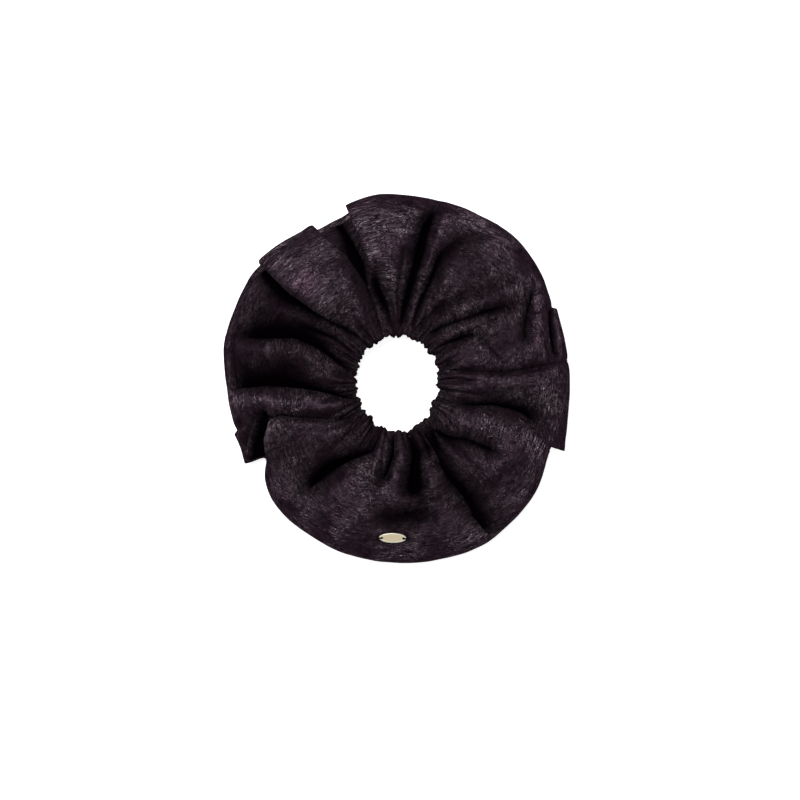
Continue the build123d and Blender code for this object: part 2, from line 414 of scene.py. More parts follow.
# %% Valleys and crests
# name: (lean, width on the left, width on the right, line of (angle, radius, depth)). Left and right
# are as seen along the line. The lean is how far the left side hangs over the crease, or the right
# side if it is negative. A line of negative depth is a crest.
FOLDS = {
    "under_flap": (-2.0, 3.2, 2.5, [
        (128, 26, 4), (138, 46, 8), (140.2, 60, 9), (139.4, 72, 9), (138.6, 84, 8),
    ]),
    "beside_flap": (-2.6, 3.0, 2.2, [
        (103.8, 25, 3), (103.5, 40.6, 6.5), (104.8, 54, 7.5), (108.2, 75, 9), (109, 84, 7),
    ]),
    "flap_right": (0.8, 3.0, 2.5, [(105.5, 34, 1), (108.6, 46, 3), (112.7, 58, 3), (118, 74, 2)]),
    "top_middle": (-0.8, 3.0, 2.6, [(93.5, 23, 1.5), (94.5, 34, 4.5), (95.8, 44, 4.5), (96, 54, 0)]),
    "top_thin": (1.2, 1.6, 2.2, [(87.5, 23, 1.2), (88, 40, 2.4), (86.5, 57, 0.6)]),
    "top_right": (0, 1.3, 1.5, [
        (85.5, 24, 2.5), (84.1, 34, 4), (82.4, 48.6, 5), (80.4, 60, 8), (79.6, 68, 8.5), (78.5, 74, 5),
        (77, 80, 1),
    ]),
    "right_of_top": (1.6, 2.0, 3.6, [
        (75.4, 25, 1.5), (75.6, 36, 5), (74.0, 48, 7), (73.0, 54, 5), (71, 60, 3.2), (67, 67, 2.4),
        (61, 73, 1.6), (56, 78, 0),
    ]),
    "upper_faint": (1.0, 1.8, 2.8, [(71, 24, 1.5), (62.7, 36, 3), (52.3, 50, 2.2), (39, 68, 0)]),
    "flap_back": (0, 0.7, 0.7, [(134.5, 77.0, 1.5), (129, 76.4, 2.2), (123, 76.0, 1.5)]),
    "corner_line": (1.8, 2.0, 3.0, [
        (58, 24, 1.5), (51.5, 33, 6), (41.6, 47, 5), (34.4, 60, 2), (29, 68, 0),
    ]),
    "corner_crease": (0.8, 1.4, 2.2, [(41, 22, 1.5), (38.9, 27, 3.4), (36, 33, 3.6), (32.8, 39, 3.0)]),
    "corner_edge": (0, 0.8, 0.8, [
        (33.0, 39.4, -1.0), (21, 40.8, -1.0), (13.6, 43.7, -0.7), (7.9, 47.2, -0.3),
    ]),
    "corner_shade": (0, 2.0, 1.0, [(32.0, 42.0, 1.8), (21, 43.2, 1.6), (14, 46, 1.2), (9, 49, 0)]),
    "right_slit": (1.6, 1.0, 1.8, [(33, 71.5, 3), (28, 67, 6), (21.5, 62, 6.5), (18, 59, 2)]),
    "right_edge_slit": (0, 0.8, 0.9, [
        (24.6, 74.6, 4), (21, 73.0, 6), (16.5, 71.4, 6), (11.5, 70.4, 4), (8.5, 70, 0),
    ]),
    "seam_line": (0.9, 1.2, 1.4, [
        (14, 22.5, 0.8), (9, 30, 1.1), (5.3, 47, 1.9), (5.9, 58, 1.7), (7.5, 74.4, 0.9), (7.6, 82, 0.8),
    ]),
    "right_low": (-2.0, 5.0, 2.6, [
        (-22, 25, 2), (-15, 43, 6), (-14, 56, 5), (-15.5, 66, 2), (-17, 76, 0.6),
    ]),
    "swirl": (2.4, 2.2, 5.0, [
        (-50.5, 24, 2.5), (-42, 32, 5), (-36, 38, 5.5), (-33.5, 48, 5), (-36, 56, 0),
    ]),
    "low_right": (-2.8, 6.5, 2.6, [
        (-63.5, 24, 3), (-66.5, 40, 8.5), (-65.6, 47, 10), (-62.4, 57, 9.5), (-61.9, 67, 5.5),
        (-59.6, 76, 3.5), (-58, 84, 2),
    ]),
    "small_53": (0.6, 2.0, 2.0, [(-53, 23, 2), (-56, 31, 3), (-57, 37, 0)]),
    "low_middle": (0, 3.0, 3.0, [
        (-76.5, 22, 2.2), (-78, 32, 4.5), (-80.5, 40, 6.5), (-81.6, 46, 8), (-82.5, 50, 1),
    ]),
    "small_72": (-0.8, 2.0, 2.0, [(-69, 22, 2), (-71, 30, 3.4), (-74, 36, 0)]),
    "small_268": (0.8, 1.6, 2.2, [(267.5, 22, 2.5), (268, 31, 5.2), (264, 40, 4.5), (260, 46, 0)]),
    "low_left": (1.4, 1.8, 7.0, [
        (253, 24, 2.2), (252, 31, 4), (240, 40.5, 7), (235, 48, 8), (232, 56, 5), (230, 63, 1),
    ]),
    "hanging_gap": (0, 0.8, 1.7, [
        (193, 59, 3), (196.8, 61.4, 8), (203, 64.8, 9), (208.5, 68, 8), (211, 71, 4),
    ]),
    "left_band_low": (0.6, 1.2, 1.4, [
        (225, 20.5, 1.5), (212, 30, 2.6), (202, 42, 2.8), (195, 57, 3.2), (193, 63, 1),
    ]),
    "left_dark": (1.6, 1.8, 6.5, [
        (202, 19, 2.5), (197, 23.5, 4), (190, 32, 6.5), (185.8, 41, 8), (183, 55, 7), (182.3, 67, 4),
        (182, 73, 1),
    ]),
    "left_upper": (1.4, 2.2, 6.0, [
        (168, 20, 3), (163.9, 24, 4), (158.4, 36, 6), (157.6, 48, 7), (162, 60, 6.5), (163, 68, 3),
        (164, 74, 1),
    ]),
    "left_between": (0.8, 1.6, 2.4, [(146, 22, 2), (145, 32, 3), (148, 42, 2.5), (151, 52, 0)]),
    "dent_over_tag": (0, 3.4, 3.4, [
        (-99, 60, 0.5), (-94, 59.0, 3.2), (-86, 58, 3.4), (-79, 59, 2.4), (-74, 60, 0),
    ]),
    "tip_fold_a": (1.0, 1.2, 1.8, [(192, 62, 0), (197, 67, 2.2), (203, 73, 2.6), (206, 78, 2)]),
    "tip_gap": (0.5, 0.9, 0.9, [
        (199, 62, 1), (201.1, 64.5, 4), (204.8, 68.2, 6), (207.6, 71.1, 6), (209, 75, 4),
    ]),
    "left_rim": (0.6, 0.7, 0.7, [
        (146, 78, 1.5), (154.8, 76.3, 2.2), (162, 74.6, 2.2), (170, 73, 2.2), (178, 71.1, 1.8),
        (184, 70.3, 0),
    ]),
    "tip_fold_b": (1.0, 1.2, 1.8, [(191, 67, 0), (195, 71, 1.8), (199, 76, 2)]),
}
FOLD_DEPTH = 2.1
WIDTH_SCALE = 1.5
LEAN_REACH = 1.5
END_FADE = 4  # a fold dies away over this length past its line's end
# Painted shade: how deep a crease must be to be painted mostly black, and how much of that black the lip
# over it keeps.
BLACK_DEPTH = 2.9  # a crease this deep is mostly black
LIT_LIP = 0.3  # how much of the black the lip that hangs over it keeps


def narrowed(place):
    """Folds are finer near the hole: the share of its full width that a fold has at a radius."""
    return 0.35 + 0.65 * np.clip((np.hypot(place[..., 0], place[..., 1]) - 20) / 45, 0, 1)


def hand_folds(place):
    """At each place, from the drawn folds: how far the cloth sinks, how far it shifts sideways and
    how much painted shade it gets. The lip that hangs over a crease keeps little of it, and the other side
    is painted dark."""
    sunk, lit, shift = np.zeros(place.shape[:-1]), np.ones(place.shape[:-1]), np.zeros_like(place)
    scale = narrowed(place) * WIDTH_SCALE
    for lean, left_width, right_width, line in FOLDS.values():
        side, depth, left, past = beside_line(line, place)
        width = np.where(side > 0, left_width, right_width) * scale
        ends = np.exp(-past / END_FADE)
        x = np.abs(side) / width
        sunk += FOLD_DEPTH * depth * np.exp(-x) * ends
        lip = np.clip(side * np.sign(lean), 0, None) / width
        held = np.clip(np.abs(depth) / 5, 0, 1.3) * ends * (0.45 + 0.55 * np.clip(scale, 0, 1))
        shift -= (lean * LEAN_REACH * held * lip * np.exp(1 - lip))[..., None] * left
        # Painted shade at the bottom of the crease, narrow on the lip's side and wide on the other.
        reach = np.where(lip > 0, LIT_LIP, 1.0)
        black = 1 - bell(np.clip(depth, 0, None), BLACK_DEPTH)
        lit *= 1 - black * ends * np.exp(-((x / reach) ** 2.2))
    return sunk, shift, 1 - lit


deepest = max(point[2] for fold in FOLDS.values() for point in fold[3])
print(len(FOLDS), "valleys and crests, the deepest", FOLD_DEPTH * deepest, "mm before the layers part")

# %% [markdown]
# ### Hollows, painted shade and painted glints
# Between its folds a panel isn't a perfect pillow: it dips here and there, and each dip gets painted
# shade as well as sinking. The satin also gets patches of more and of less painted glint on its floats.
# Each dip and each patch is a soft oval spot, given in a list. A painted mask could do it too, but it
# would be a picture to keep beside the script.

# %% Hollows
# (angle, radius, half length round the ring, half width across it, sink, how dark its painted shade is)
HOLLOWS = [
    (50, 59, 19, 9, 1.4, 0.5), (66, 66, 8, 6, 0.8, 0.3), (22, 50, 10, 9, 0.5, 0.3),
    (213, 56, 9, 11, 1.0, 0.5), (-77, 52, 8, 6, 0.8, 0.6), (-80, 60, 12, 5, 0.6, 0.4),
    (127, 39, 5, 8, 0.4, 0.5), (152, 68, 12, 8, 0.8, 0.4), (170, 68, 14, 8, 0.8, 0.45),
    (172, 48, 6, 8, 0.6, 0.4), (58, 27, 6, 5, 0.2, 0.5), (126, 70, 9, 6, 0.3, 0.2),
    (150, 40, 6, 12, 0.2, 0.3), (-42, 68, 16, 7, 0.8, 0.25), (174, 51, 6.5, 20, 0.8, 0.55),
    (152, 56, 6, 15, 0.6, 0.5), (234, 49, 3.6, 8, 1.2, 0.95), (238, 58, 6, 7, 0.4, 0.4),
]


def spot(angle, radius, at, out, length, width):
    """A soft oval spot round one angle and radius, 1 at its middle."""
    along = np.radians(turned(angle, at)) * radius / length
    return np.exp(-(along**2) - ((radius - out) / width) ** 2)


def hollows(angle, radius):
    """Broad dents between the folds: how far they sink and how much painted shade they get."""
    sunk, lit = np.zeros_like(angle), np.ones_like(angle)
    for *oval, sink, dark in HOLLOWS:
        share = spot(angle, radius, *oval)
        sunk += sink * share
        lit *= 1 - dark * share
    return sunk, 1 - lit


print(len(HOLLOWS), "hollows")

# %% Patches of more and of less painted glint
# (angle, radius, half length round the ring, half width across it, how much more the satin glints, in
# painted highlight and relief)
PATCHES = [
    (101, 71, 8, 5, 0.6), (106, 49, 3, 14, 0.7), (85.5, 73, 4, 4, 0.6), (60, 64, 7, 4, 0.9),
    (59, 45, 4, 5, 0.7), (50, 39, 3, 6, 0.6), (119, 59, 5, 12, 0.5), (138.5, 38.5, 2, 5, 0.9),
    (155, 29.5, 2, 5, 0.8), (189, 42, 3.5, 22, 0.9), (198, 52, 3, 10, 0.5), (214, 34, 4, 8, 0.5),
    (-67.5, 38, 4, 5, 0.5), (-32.5, 45, 5, 6, 0.4), (-6, 61, 6, 10, 0.4), (224, 47, 9, 8, -0.5),
    (246, 61, 12, 8, -0.5), (172, 55, 7, 16, -0.4), (-60, 66, 5, 8, -0.3), (115, 72, 4, 8, -0.3),
]


def patches(angle, radius):
    """How much more, or less, the satin glints at each place than on the rest of the ring, as painted
    highlight and relief.
    """
    more = np.zeros_like(angle)
    for *oval, strength in PATCHES:
        more += strength * spot(angle, radius, *oval)
    return more


print(len(PATCHES), "patches,", sum(patch[-1] > 0 for patch in PATCHES), "of them brighter")

# %% [markdown]
# ### Fine gathers and slow waves
# The gathers at the hole are too many to draw one by one and too uneven for a plain sine wave. So a
# generator with a fixed seed gives each its place, depth, reach and lean, and the same cloth comes
# out every time. On top of them the whole cloth wanders a little, in waves a few centimetres long.

# %% Fine gathers
GATHERS = 62
GATHER_TURN, GATHER_RUN = 9, 30  # a gather swings by up to 9 degrees in its first 30 mm
GATHER_WIDTH, GATHER_SPREAD = 0.5, 0.05  # half width at the hole, and how it grows with distance
GATHER_SINK, GATHER_GROWTH = 1.9, 0.07  # depth at the hole, and how it grows
draw = np.random.default_rng(11)
gather_step = draw.uniform(0.35, 1.7, GATHERS)
gather_angle = np.cumsum(gather_step) / gather_step.sum() * 360
gather_depth = draw.uniform(0.7, 1.5, GATHERS)
gather_reach = draw.choice([26, 30, 36, 43, 54], GATHERS, p=[0.24, 0.26, 0.24, 0.16, 0.10])
gather_under = draw.choice([42, 50, 58, 66, 74], GATHERS, p=[0.12, 0.2, 0.28, 0.25, 0.15])
gather_lean = np.convolve(np.tile(draw.uniform(-1, 1, GATHERS), 3), np.ones(5) / 5, "same")
gather_lean = gather_lean[GATHERS:-GATHERS]


def gather_sink(angle, radius, reach):
    """How far the cloth sinks in the fine gathers, each of which dies out at its own radius."""
    sunk = np.zeros_like(angle)
    out = np.clip(radius - HOLE, 0, None)
    for k in range(GATHERS):
        here = gather_angle[k] + gather_lean[k] * GATHER_TURN * out / GATHER_RUN
        across = np.abs(np.radians(turned(angle, here))) * radius
        width = GATHER_WIDTH + GATHER_SPREAD * out
        fade = np.clip((reach[k] - radius) / (reach[k] - HOLE), 0, 1) ** 0.7
        depth = gather_depth[k] * (GATHER_SINK + GATHER_GROWTH * out) * fade
        sunk += depth * np.exp(-((across / width) ** 1.35) * 0.8)
    return sunk


print(GATHERS, "gathers,", int((gather_reach > 40).sum()), "of them run on past 40 mm")

# %% Slow waves of the cloth
def ease(share):
    """Turns a straight run from 0 to 1 into one that starts and ends softly."""
    return share * share * (3 - 2 * share)


def waves(angle, radius, seed, rings, steps, reach):
    """A smooth random sheet over the ring: rings x steps random heights, joined smoothly."""
    heights = np.random.default_rng(seed).uniform(-1, 1, (steps, rings))
    turn = (angle / 360 * steps) % steps
    out = np.clip((radius - HOLE) / (OUTER - HOLE), 0, 1) * (rings - 1)
    a0, r0 = np.floor(turn).astype(int), np.floor(out).astype(int).clip(0, rings - 2)
    fa, fr = ease(turn - a0), ease(out - r0)
    a1 = (a0 + 1) % steps
    a0 = a0 % steps
    near = heights[a0, r0] * (1 - fa) + heights[a1, r0] * fa
    far = heights[a0, r0 + 1] * (1 - fa) + heights[a1, r0 + 1] * fa
    return reach * (near * (1 - fr) + far * fr)


round_crest = waves(angle[:, 0], np.full(COLUMNS, CREST), 3, 5, 26, 1.0)
print(f"a wave 1 mm high reaches {round_crest.min():.2f} to {round_crest.max():.2f} mm along the crest")

# %% [markdown]
# ### Pleats
# At the outer edge there is more cloth than room, and it laps over itself. A pleat is drawn as a line
# like a fold's. The cloth on one side of the line is pushed across it and lifted, and the cloth on
# the other side slips under. A valley alone would never hide one layer behind another.

# %% Pleats that lap over
# name: (side of the line that lies on top, overlap, rise, line of (angle, radius, strength))
PLEATS = {
    "flap_left": (-1, 4.6, 3.2, [(126, 30, 0.05), (134, 45, 0.5), (135.4, 60, 1), (134.8, 90, 1.2)]),
    "flap_right": (1, 3.0, 2.2, [
        (105, 32, 0.05), (107, 44, 0.5), (112.7, 58, 1), (119.5, 80, 1), (121, 90, 1),
    ]),
    "top_left": (-1, 3.5, 3.0, [
        (100.5, 28, 0.05), (99.0, 42, 0.4), (99.8, 58, 0.9), (103.0, 78, 1.1), (104.5, 90, 1.1),
    ]),
    "right_lower": (1, 4.5, 3.0, [
        (-19, 52, 0.0), (-20.3, 60, 0.4), (-21.5, 71.5, 1), (-20.5, 77, 1.1), (-18.6, 90, 1.2),
    ]),
    "left_lower": (1, 2.4, 3.2, [
        (206, 38, 0.0), (195, 51, 0.2), (197, 57, 0.8), (203.5, 61.5, 1.0), (210, 65, 0.7),
        (216, 69, 0.1),
    ]),
}
PLEAT_WIDTH = 2.6
PLEAT_END = 3  # a pleat dies away over this length past its line's end
STEP_SHARPNESS = 1.6
UPPER_FADE, LOWER_FADE = 3.5, 2.5  # in pleat widths, how far either layer rises or sinks
LOWER_SHARE = 0.6  # how far the lower layer sinks, as a share of the upper layer's rise


def pleat_shift(place, on_top):
    """The sideways shift and the rise that each pleat gives, faded out underneath."""
    shift, rise = np.zeros_like(place), np.zeros(place.shape[:-1])
    for upper, overlap, lift, line in PLEATS.values():
        side, strength, left, past = beside_line(line, place)
        x = side * upper / PLEAT_WIDTH
        kept = strength * np.exp(-past / PLEAT_END) * on_top
        shift -= (overlap * kept * x * np.exp(0.5 - x * x / 2))[..., None] * left * upper
        above = 0.5 * (1 + np.tanh(x * STEP_SHARPNESS))
        upper_layer = above * np.exp(-np.clip(x, 0, None) / UPPER_FADE)
        lower_layer = (1 - above) * LOWER_SHARE * np.exp(np.clip(x, None, 0) / LOWER_FADE)
        rise += kept * lift * (upper_layer - lower_layer)
    return shift, rise


print(len(PLEATS), "pleats, the widest overlap", max(pleat[1] for pleat in PLEATS.values()), "mm")

# %% [markdown]
# ### Folding
# All the folds are added up and the grid is moved at once. A displacement modifier could do it, but
# it knows nothing of the other layers. Here the top can't sink through the underside, the underside
# stays below the elastic, the allowances inside stay straight, and the cloth under the tag stays
# flat. The same step works out how little light reaches each point, as painted shade for the satin.

# %% How far the cloth sinks
HOLE_DEPTH = 0.45  # how much deeper the gathers are at the hole than further out
HOLE_REACH = 10.0
UNDERSIDE_DEPTH = 3.1  # how much deeper they are where the ring lies on the table
CRUMPLES = (13, 7, 150, 5.0)  # seed, rings, steps round the ring, height
CRUMPLE_EDGE, CRUMPLE_FADE = 64, 12  # underneath, from the edge's radius inwards
SEAM_HOLD, SEAM_HALF = 0.85, 1.4  # the long seam holds the cloth down beside it
SEAM_PULL, SEAM_CREASE = 1.6, 1.3  # the closing seam pulls a crease into the underside


def sink_on_top(angle, radius):
    """The fine gathers, deeper beside the hole."""
    near_hole = bell(np.clip(radius - HOLE, 0, None), HOLE_REACH)
    return gather_sink(angle, radius, gather_reach) * (1 + HOLE_DEPTH * near_hole)


def sink_underneath(angle, radius, place):
    """Deeper gathers and small crumples, held at the long seam and creased at the closing one."""
    sunk = gather_sink(angle, radius, gather_under) * UNDERSIDE_DEPTH
    crumpled = np.clip((CRUMPLE_EDGE - radius) / CRUMPLE_FADE, 0, 1)
    sunk += np.abs(waves(angle, radius, *CRUMPLES)) * crumpled
    sunk *= 1 - SEAM_HOLD * bell(radius - SEAM, SEAM_HALF)
    beside_seam = np.abs(beside_line(FOLDS["seam_line"][3], place)[0])
    return sunk + SEAM_PULL * np.exp(-beside_seam / SEAM_CREASE)


print(f"on top the gathers sink up to {sink_on_top(angle, radius).max():.1f} mm")

# %% How the cloth wanders
TOP_SWELL = (3, 5, 26, 1.1)  # seed, rings, steps round the ring, height
UNDER_SWELL = (5, 4, 22, 0.9)
RIPPLE = (7, 14, 90, 0.25)
LOOSE = (9, 9, 40, 1.5)  # the looser cloth beside the hole
LOOSE_EDGE, LOOSE_FADE = 32, 10


def wander(angle, radius, on_top):
    """How far the cloth lies off its smooth section, before any fold."""
    moved = waves(angle, radius, *TOP_SWELL) * on_top + waves(angle, radius, *UNDER_SWELL) * (1 - on_top)
    moved += waves(angle, radius, *RIPPLE)
    moved += waves(angle, radius, *LOOSE) * np.clip((LOOSE_EDGE - radius) / LOOSE_FADE, 0, 1)
    return moved


print(f"the cloth wanders up to {np.abs(wander(angle, radius, 1.0)).max():.1f} mm")

# %% Painted shade, where little light gets in
# Painted shade: a painted shadow round the tag, and painted darkening at the hole's rim and in deep gathers.
TAG_OVAL = (5.85, 2.15)  # half length and half width of what shades the cloth
TAG_SHADE, TAG_SHADE_WIDTH = 0.9, 0.32  # how dark it is beside the tag, and over what share of it
RIM_SHADE, RIM_FADE = 0.3, 5  # how dark the cloth is at the hole, and over how many millimetres
GATHER_SHADE_DEPTH = 9.0  # a gather this deep is mostly dark


def off_tag(place, half):
    """Distance from the tag's middle, as a share of an oval of that half length and half width."""
    return np.hypot((place[..., 0] - TAG_SPOT[0]) / half[0], (place[..., 1] - TAG_SPOT[1]) / half[1])


def darkness(angle, radius, place, dark, hollow_shade, sunk_top):
    """Adds up the painted shade where folds, hollows, the hole's rim, gathers and the tag keep the light
    out.
    """
    rim_light = 1 - RIM_SHADE * np.exp(-np.clip(radius - hole_at(angle), 0, None) / RIM_FADE)
    in_gather = np.exp(-((np.clip(sunk_top, 0, None) / GATHER_SHADE_DEPTH) ** 2.2))
    painted_shade = 1 - (1 - dark) * (1 - hollow_shade) * rim_light * in_gather
    # The tag's painted shadow, a dark ring on the cloth just round its edge.
    under_tag = TAG_SHADE * bell(np.clip(off_tag(place, TAG_OVAL) - 1, 0, None), TAG_SHADE_WIDTH)
    return np.clip(np.maximum(painted_shade * 1.08, under_tag), 0, 1)


print(f"tag {2 * TAG_HALF[0]:.1f} by {2 * TAG_HALF[1]:.1f} mm, its middle at {TAG_SPOT[:2].round(1)}")

# %% Keep the layers apart
LOWEST = 0.15
ROOM_SHARE, LEAST_ROOM = 0.9, 0.1  # how much of the room above the underside a fold may take
LEAST_LIFT = 0.3
UNDER_BAND = elastic_low[2] - 0.6  # the underside's gathers stay below the elastic
under = section[(section_normal[:, 1] < 0) & (allowance_row == 0)]
under = under[np.argsort(under[:, 0])]


def layered(height, radius, out):
    """Heights after the folds: the top stays above the underside, and that below the elastic."""
    up = section_normal[:, 1][None, :]
    room = np.where(up > 0, height - np.interp(radius, under[:, 0], under[:, 1]), 1e9)
    down = np.clip(-out * up, 0, None)
    down = room * ROOM_SHARE * (1 - np.exp(-down / np.maximum(room * ROOM_SHARE, LEAST_ROOM)))
    lift = np.clip(out * up, 0, None)
    below_band = np.clip(UNDER_BAND - height, LEAST_LIFT, None)
    lift = np.where(up > 0, lift, below_band * np.tanh(lift / below_band))
    return np.clip(height + lift - down, LOWEST, None)


print(f"underside {under[0, 0]:.1f} to {under[-1, 0]:.1f} mm out, elastic from {elastic_low[2]:.1f} mm up")

# %% Fold the cloth
WALL_SHALLOW = 0.45  # how much shallower the gathers are where the casing holds them
WALL_HALF = 2.5
TOP_EDGE = 1.6  # how sharply the folds of the top give way to those underneath
SIDEWAYS, MOST_SIDEWAYS = 0.5, 3.6  # share of a fold's depth that moves an upright wall, and its limit
TAG_SEAT = (8.0, 4.2)  # half length and half width of the flat place under the tag


def folded(angle, radius, height):
    """Places of the grid's points, in millimetres, after every fold, and the painted shade of each."""
    place = plane(angle, radius)
    on_top = ease(np.clip(0.5 + section_normal[:, 1][None, :] * TOP_EDGE, 0, 1))
    skip = 1 - allowance_row[None, :]
    hand_sunk, lips, dark = hand_folds(place)
    dent, hollow_shade = hollows(angle, radius)
    sunk_top = hand_sunk + dent + sink_on_top(angle, radius)
    wall = np.clip(1 - np.abs(radius - hole_at(angle)) / WALL_HALF, 0, 1)
    sunk = sunk_top * on_top + sink_underneath(angle, radius, place) * (1 - on_top)
    sunk = sunk * (1 - WALL_SHALLOW * wall)
    shift, rise = pleat_shift(place, on_top)
    shift += lips * on_top[..., None]
    seat = np.exp(-(off_tag(place, TAG_SEAT) ** 4)) * on_top
    out = (wander(angle, radius, on_top) + rise - sunk) * skip * (1 - seat)
    outward = place / np.linalg.norm(place, axis=-1, keepdims=True)
    sideways = np.clip(out * SIDEWAYS, -MOST_SIDEWAYS, MOST_SIDEWAYS) * section_normal[None, :, 0]
    xy = place + outward * sideways[..., None] + shift * skip[..., None]
    painted_shade = darkness(angle, radius, place, dark, hollow_shade, sunk_top) * on_top * skip
    return np.concatenate([xy, layered(height, radius, out)[..., None]], -1), painted_shade


cloth, painted_shade = folded(angle, radius, height)
row_length = np.linalg.norm(np.roll(cloth, -1, 0) - cloth, axis=-1).sum(0)
STRIP_LENGTH = float(row_length.max())
print(f"strip {STRIP_LENGTH:.1f} mm long, its shortest row drawn up to {row_length.min():.0f} mm")
print("cloth spans", np.round(cloth.reshape(-1, 3).min(0), 1), np.round(cloth.reshape(-1, 3).max(0), 1))

# %% [markdown]
# ### The mesh
# The folded grid becomes a mesh of quads, closed round the ring and open along its raw edges. Its UV
# map is the flat strip in millimetres, which an unwrap of so crumpled a shape would never find again.

# %% Make the cover's mesh
def grid_faces(columns, rows):
    """Quads of a grid whose columns close into a ring and whose rows stay open."""
    c, r = np.meshgrid(np.arange(columns), np.arange(rows - 1), indexing="ij")
    nxt = (c + 1) % columns
    return np.stack([c * rows + r, nxt * rows + r, nxt * rows + r + 1, c * rows + r + 1], -1).reshape(-1, 4)


def cloth_mesh(name, points, rows):
    """A smooth mesh of the grid, with the strip's own length and width as its UV, in millimetres."""
    mesh = bpy.data.meshes.new(name)
    faces = grid_faces(len(points), rows)
    mesh.from_pydata((points.reshape(-1, 3) * MM).tolist(), [], faces.tolist())
    along = np.arange(len(points) + 1) * STRIP_LENGTH / len(points)
    column, row = faces // rows, faces % rows
    last = faces.max(1, keepdims=True) // rows == len(points) - 1
    column = np.where((column == 0) & last, len(points), column)
    layer = mesh.uv_layers.new(name="strip")
    layer.data.foreach_set("uv", np.stack([along[column], across_strip[row]], -1).reshape(-1))
    mesh.shade_smooth()
    return mesh


cover_mesh = cloth_mesh("cover", cloth, len(section))
# The painted shade goes to the satin as the crease attribute, and the patches of painted glint as a second
# attribute.
cover_mesh.attributes.new("crease", "FLOAT", "POINT").data.foreach_set("value", painted_shade.reshape(-1))
painted_glint_and_relief = patches(angle, radius).reshape(-1)
cover_mesh.attributes.new("painted_glint_and_relief", "FLOAT", "POINT").data.foreach_set("value", painted_glint_and_relief)
cover = bpy.data.objects.new("cover", cover_mesh)
bpy.context.scene.collection.objects.link(cover)
print("cover faces", len(cover_mesh.polygons), "area mm2", sum(p.area for p in cover_mesh.polygons) / MM**2)

# %% [markdown]
# ### Satin
# This satin is a crinkled jacquard: short bright floats of yarn run across the strip on a darker,
# slightly purple ground, thick in some patches and thin in others. It could be a velvet shader, but
# velvet shines at its edges, and satin shines where it faces the light. So the ground is a dark
# colour, a stretched noise gives the floats, and the gloss is a metallic one that fades as the cloth
# turns away. The floats' glints are partly real gloss and partly painted highlight: their lighter
# colour brightens both the metallic gloss and the plain colour under it. The crease attribute is
# painted shade: it darkens the colour and takes the gloss away at the bottom of a fold and wherever
# else little light gets in. A second attribute places patches of more and of less painted glint and
# relief. All of it reads the strip's own UV map, so the pattern bends into every fold as a woven one does.

# %% Satin finish
SATIN_GROUND = (0.0365, 0.0220, 0.0315)
# The floats' glint colour: a painted highlight in the plain colour, and the gloss's colour through Metallic.
SATIN_GLINT = (0.170, 0.138, 0.156)
MOTTLE_DARK = 0.55  # how dark the ground's small dull spots are
# Painted shade: the near-black that the colour goes to at the bottom of folds and wherever little light gets
# in; the mottle's small spots lean towards it too.
PAINTED_SHADE_AND_MOTTLE = (0.0012, 0.0005, 0.0011)


def satin():
    """Dark aubergine satin with short bright floats across the strip, their glints partly painted, and
    painted shade in its folds.
    """
    finish = Finish("aubergine_satin")
    strip = finish.node("ShaderNodeUVMap", {"uv_map": "strip"})
    crease = finish.node("ShaderNodeAttribute", {"attribute_name": "crease"}, out=2)
    facing = finish.node("ShaderNodeLayerWeight", {}, Blend=0.5, out=1)

    def marks(stretch, scale, detail, rough, twist=0.0):
        """A noise on the flat strip, drawn out across it where the first stretch is small."""
        at = finish.node("ShaderNodeMapping", {"vector_type": "POINT"}, strip, Scale=stretch)
        return finish.node("ShaderNodeTexNoise", {"noise_dimensions": "2D"}, Vector=at, Scale=scale,
                           Detail=detail, Roughness=rough, Distortion=twist)

    slub = marks((0.22, 1.0, 1), scale=0.6, detail=2.5, rough=0.55, twist=1.4)
    crepe = marks((0.35, 1.0, 1), scale=1.9, detail=2, rough=0.55, twist=0.6)
    crinkle = marks((0.5, 1.0, 1), scale=0.22, detail=2, rough=0.5, twist=2.2)
    patch = marks((1, 1, 1), scale=0.05, detail=2, rough=0.5)
    mottle = marks((0.6, 1.0, 1), scale=0.30, detail=3, rough=0.6, twist=0.8)
    ridge = (1 - (slub - 0.5).math("ABSOLUTE") * 12).math("MAXIMUM", 0)
    crest = (1 - (crinkle - 0.5).math("ABSOLUTE") * 7).math("MAXIMUM", 0)
    # Painted highlight: the listed patches make the glints stronger or weaker, and the floats' relief deeper
    # or shallower.
    painted_glint_and_relief = finish.node("ShaderNodeAttribute", {"attribute_name": "painted_glint_and_relief"}, out=2)
    patchy = ((patch - 0.36) * 3 + painted_glint_and_relief).held()
    glint = (ridge * 0.6 + crest * ridge * 0.8) * patchy * (crepe * 1.5)
    relief = (slub * 0.95 + crest * 0.25) * (patchy * 0.65 + 0.35) + crepe * 0.2
    bump = finish.node("ShaderNodeBump", {}, Strength=0.7, Distance=0.0013, Height=relief)
    # The glints are painted highlight in the colour, and through Metallic they brighten the gloss.
    colour = finish.blend(glint.math("MINIMUM", 1), SATIN_GROUND, SATIN_GLINT)
    dull = ((0.56 - mottle) * 4).held() * MOTTLE_DARK
    # Painted shade: the crease attribute blends the colour towards near-black and takes the gloss away; the
    # mottle darkens small spots at random.
    shaded = finish.blend(crease + dull * (1 - crease), colour, PAINTED_SHADE_AND_MOTTLE)
    gloss = (1 - facing * facing * facing) * (1 - crease) * 0.75
    finish.set(Base_Color=shaded, Roughness=0.34 - (patch - 0.5) * 0.12 - crepe * 0.08, Normal=bump)
    finish.set(Metallic=gloss, Specular_IOR_Level=0.0, Specular_Tint=(0.2, 0.15, 0.2))
    print(finish.material.name, len(finish.tree.nodes), "nodes")
    return finish.material


